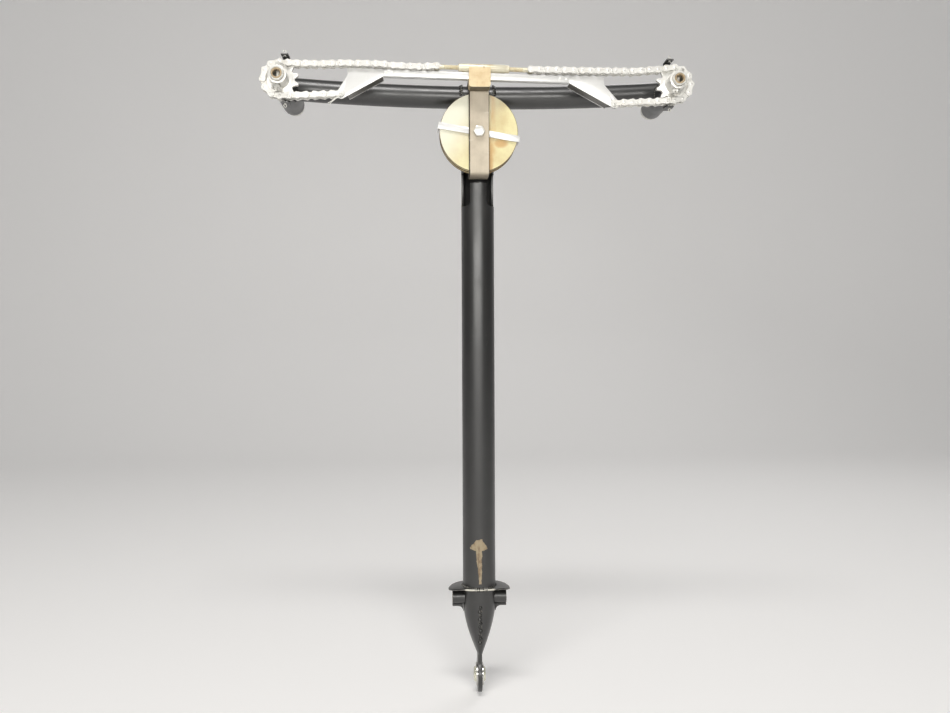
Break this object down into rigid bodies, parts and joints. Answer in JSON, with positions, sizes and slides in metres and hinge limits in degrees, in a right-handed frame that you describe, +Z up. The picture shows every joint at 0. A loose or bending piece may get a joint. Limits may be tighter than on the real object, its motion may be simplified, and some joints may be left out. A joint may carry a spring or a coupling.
{
  "type": "aircraft control column",
  "caption": "T-shaped control column with a wheel shaft at each end of its crossbar, a chain drive between them, cable pulleys at the head and a pivot and lug at the foot.",
  "frame": {"origin": "middle of the pivot axis at the foot of the column", "axes": "+Z up along the column to the crossbar, +X to the right along the pivot axis and crossbar, -Y towards the pilot and the wheel ends of the shafts"},
  "size_m": [0.483, 0.133, 0.7297],
  "materials": {
    "satin_black": "satin black paint",
    "bearing_steel": "ground steel",
    "bright_bolt": "bright plated hardware",
    "bronze_bush": "plain bronze",
    "strap_steel": "dull grey plate",
    "aluminium_sheet": "plain sheet",
    "tan_phenolic": "machined tan laminate",
    "bright_plate": "bright plating",
    "tan_plastic": "brown plastic",
    "chain_steel": "bright chain steel",
    "brass": "pale brass"
  },
  "bodies": {
    "pivot_spindle": {"pivot_spindle": "bearing_steel"},
    "column": {"pivot_tube": "satin_black", "pivot_bush_left": "bronze_bush", "pivot_bush_right": "bronze_bush", "base_saddle": "satin_black", "tapered_foot": "satin_black", "pivot_gusset_left": "satin_black", "pivot_gusset_right": "satin_black", "foot_lug": "satin_black", "foot_bearing_race": "bearing_steel", "column_tube": "satin_black", "crossbar": "satin_black", "head_strap": "strap_steel", "cable_keeper": "aluminium_sheet", "pulley_bolt": "bright_bolt", "pulley_nut": "bright_bolt", "pulley_sleeve": "satin_black", "guide_block": "tan_phenolic", "guide_screw": "bright_bolt", "shaft_housing_left": "satin_black", "shaft_housing_right": "satin_black", "shaft_bush_left_front": "bronze_bush", "shaft_bush_right_front": "bronze_bush", "shaft_bush_left_rear": "bronze_bush", "shaft_bush_right_rear": "bronze_bush", "chain_guard_left": "satin_black", "chain_guard_right": "satin_black", "guard_pin_left_upper": "bright_plate", "guard_pin_right_upper": "bright_plate", "guard_pin_left_lower": "bright_plate", "guard_pin_right_lower": "bright_plate", "chain_wrap_left": "chain_steel", "chain_wrap_right": "chain_steel"},
    "foot_ball": {"foot_ball": "bearing_steel"},
    "pulley_front": {"pulley_front": "tan_phenolic", "pulley_bearing_front": "bearing_steel"},
    "pulley_rear": {"pulley_rear": "tan_phenolic", "pulley_bearing_rear": "bearing_steel"},
    "wheel_left": {"sprocket_left": "chain_steel", "wheel_shaft_left": "bright_plate", "shaft_insert_left": "tan_plastic", "hub_bolt_left": "bright_bolt", "hub_nut_left": "bright_bolt", "shaft_collar_left": "bright_plate"},
    "wheel_right": {"sprocket_right": "chain_steel", "wheel_shaft_right": "bright_plate", "shaft_insert_right": "tan_plastic", "hub_bolt_right": "bright_bolt", "hub_nut_right": "bright_bolt", "shaft_collar_right": "bright_plate"},
    "turnbuckle": {"turnbuckle_barrel": "brass", "turnbuckle_eye_left": "brass", "turnbuckle_eye_right": "brass", "chain_upper_left": "chain_steel", "chain_upper_right": "chain_steel"},
    "tie_link": {"tie_bar": "aluminium_sheet", "end_plate_left": "aluminium_sheet", "end_plate_right": "aluminium_sheet", "chain_lower_left": "chain_steel", "chain_lower_right": "chain_steel"}
  },
  "joints": [
    {"name": "column_pitch", "type": "hinge", "parent": "pivot_spindle", "child": "column", "pos_m": [0, 0, 0], "axis": [1, 0, 0], "range_deg": [-12, 12]},
    {"name": "foot_ball_turn", "type": "hinge", "parent": "column", "child": "foot_ball", "pos_m": [0, 0, -0.0915], "axis": [1, 0, 0], "continuous": true},
    {"name": "pulley_front_turn", "type": "hinge", "parent": "column", "child": "pulley_front", "pos_m": [0, -0.0276, 0.535], "axis": [0, 1, 0], "continuous": true},
    {"name": "pulley_rear_turn", "type": "hinge", "parent": "column", "child": "pulley_rear", "pos_m": [0, -0.0184, 0.535], "axis": [0, 1, 0], "continuous": true},
    {"name": "wheel_left_turn", "type": "hinge", "parent": "column", "child": "wheel_left", "pos_m": [-0.21907, -0.046, 0.5868], "axis": [0, 1, 0], "range_deg": [-90, 90]},
    {"name": "wheel_right_turn", "type": "hinge", "parent": "column", "child": "wheel_right", "pos_m": [0.21907, -0.046, 0.5868], "axis": [0, 1, 0], "range_deg": [-90, 90]},
    {"name": "turnbuckle_travel", "type": "slide", "parent": "column", "child": "turnbuckle", "axis": [0.9997, 0, -0.0227], "range_m": [-0.0286, 0.0286], "deforming": ["chain_upper_left", "chain_upper_right"]},
    {"name": "tie_link_travel", "type": "slide", "parent": "column", "child": "tie_link", "axis": [0.9997, 0, -0.0227], "range_m": [-0.0286, 0.0286], "deforming": ["chain_lower_left", "chain_lower_right", "chain_wrap_left", "chain_wrap_right"]}
  ],
  "couplings": [
    {"joint": "wheel_right_turn", "follows": "wheel_left_turn", "ratio": 1},
    {"joint": "turnbuckle_travel", "follows": "wheel_left_turn", "m_per_rad": 0.018191},
    {"joint": "tie_link_travel", "follows": "wheel_left_turn", "m_per_rad": -0.018191}
  ]
}
